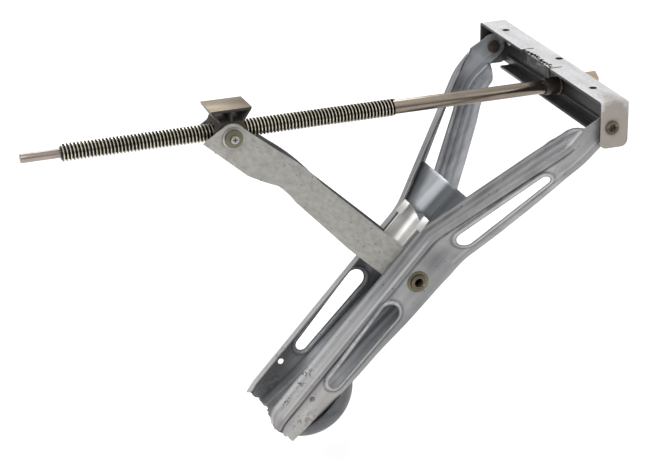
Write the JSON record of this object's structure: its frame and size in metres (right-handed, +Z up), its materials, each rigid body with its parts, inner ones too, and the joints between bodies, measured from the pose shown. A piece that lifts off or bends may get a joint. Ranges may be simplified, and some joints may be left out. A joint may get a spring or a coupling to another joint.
{
  "type": "corner steady jack",
  "caption": "Wind-down corner steady: a pressed two-legged frame with a round foot, hinged under a cross beam and swung by a strut and a sliding nut on a long lead screw.",
  "frame": {"origin": "centre of the cross beam's top face, which bolts up under the chassis", "axes": "+X along the lead screw towards its drive end, +Y along the beam to the left leg, +Z up"},
  "size_m": [0.685, 0.3244, 0.4199],
  "materials": {
    "galvanised_beam": "dull galvanised, rubbed",
    "galvanised_leg": "dull galvanised, streaked",
    "galvanised_strut": "dull galvanised, mottled",
    "dark_steel": "dark pressed steel, semi-matt",
    "saddle_steel": "zinc with a tan cast",
    "yellow_zinc": "yellow passivated zinc",
    "olive_zinc": "olive passivated zinc",
    "thread_steel": "oiled turned steel",
    "black_collar": "dark brown oxide",
    "bright_zinc": "bright zinc"
  },
  "bodies": {
    "cross_beam": {"cross_beam": "galvanised_beam", "thrust_washer": "yellow_zinc", "screw_bush": "black_collar", "rear_washer": "bright_zinc", "left_pivot_rivet": "bright_zinc", "right_pivot_rivet": "bright_zinc", "left_pivot_washer": "bright_zinc", "right_pivot_washer": "bright_zinc"},
    "leg": {"left_leg": "galvanised_leg", "right_leg": "galvanised_leg", "gusset_plate": "galvanised_leg", "screw_trough": "galvanised_leg", "spine_plate": "galvanised_leg", "foot_pad": "dark_steel", "mid_pin": "yellow_zinc", "left_mid_washer": "yellow_zinc", "right_mid_washer": "yellow_zinc", "left_mid_spacer": "bright_zinc", "right_mid_spacer": "bright_zinc"},
    "strut": {"left_strut_plate": "galvanised_strut", "right_strut_plate": "galvanised_strut", "strut_spacer": "galvanised_strut", "left_trunnion_bush": "bright_zinc", "right_trunnion_bush": "bright_zinc"},
    "nut": {"trunnion_nut": "yellow_zinc", "saddle": "saddle_steel", "left_trunnion_washer": "olive_zinc", "right_trunnion_washer": "olive_zinc", "trunnion_screws": "bright_zinc"},
    "lead_screw": {"lead_screw": "thread_steel", "thrust_collar": "black_collar", "collar_pin": "black_collar", "drive_hexagon": "yellow_zinc", "drive_pin": "black_collar"}
  },
  "joints": [
    {"name": "leg_hinge", "type": "hinge", "parent": "cross_beam", "child": "leg", "pos_m": [-0.003, 0, -0.03], "axis": [0, 1, 0], "range_deg": [-15.2, 38.8]},
    {"name": "strut_hinge", "type": "hinge", "parent": "leg", "child": "strut", "pos_m": [-0.18861, 0, -0.22773], "axis": [0, 1, 0], "range_deg": [-75, 30]},
    {"name": "nut_hinge", "type": "hinge", "parent": "strut", "child": "nut", "pos_m": [-0.39511, 0, -0.0345], "axis": [0, 1, 0], "range_deg": [-15, 36]},
    {"name": "lead_screw_turn", "type": "hinge", "parent": "cross_beam", "child": "lead_screw", "pos_m": [0, 0, -0.033], "axis": [1, 0, 0], "range_deg": [-6800, 17350]}
  ],
  "couplings": [
    {"joint": "strut_hinge", "follows": "leg_hinge", "ratio": -1.92},
    {"joint": "nut_hinge", "follows": "leg_hinge", "ratio": 0.92},
    {"joint": "lead_screw_turn", "follows": "leg_hinge", "ratio": 446.6}
  ]
}
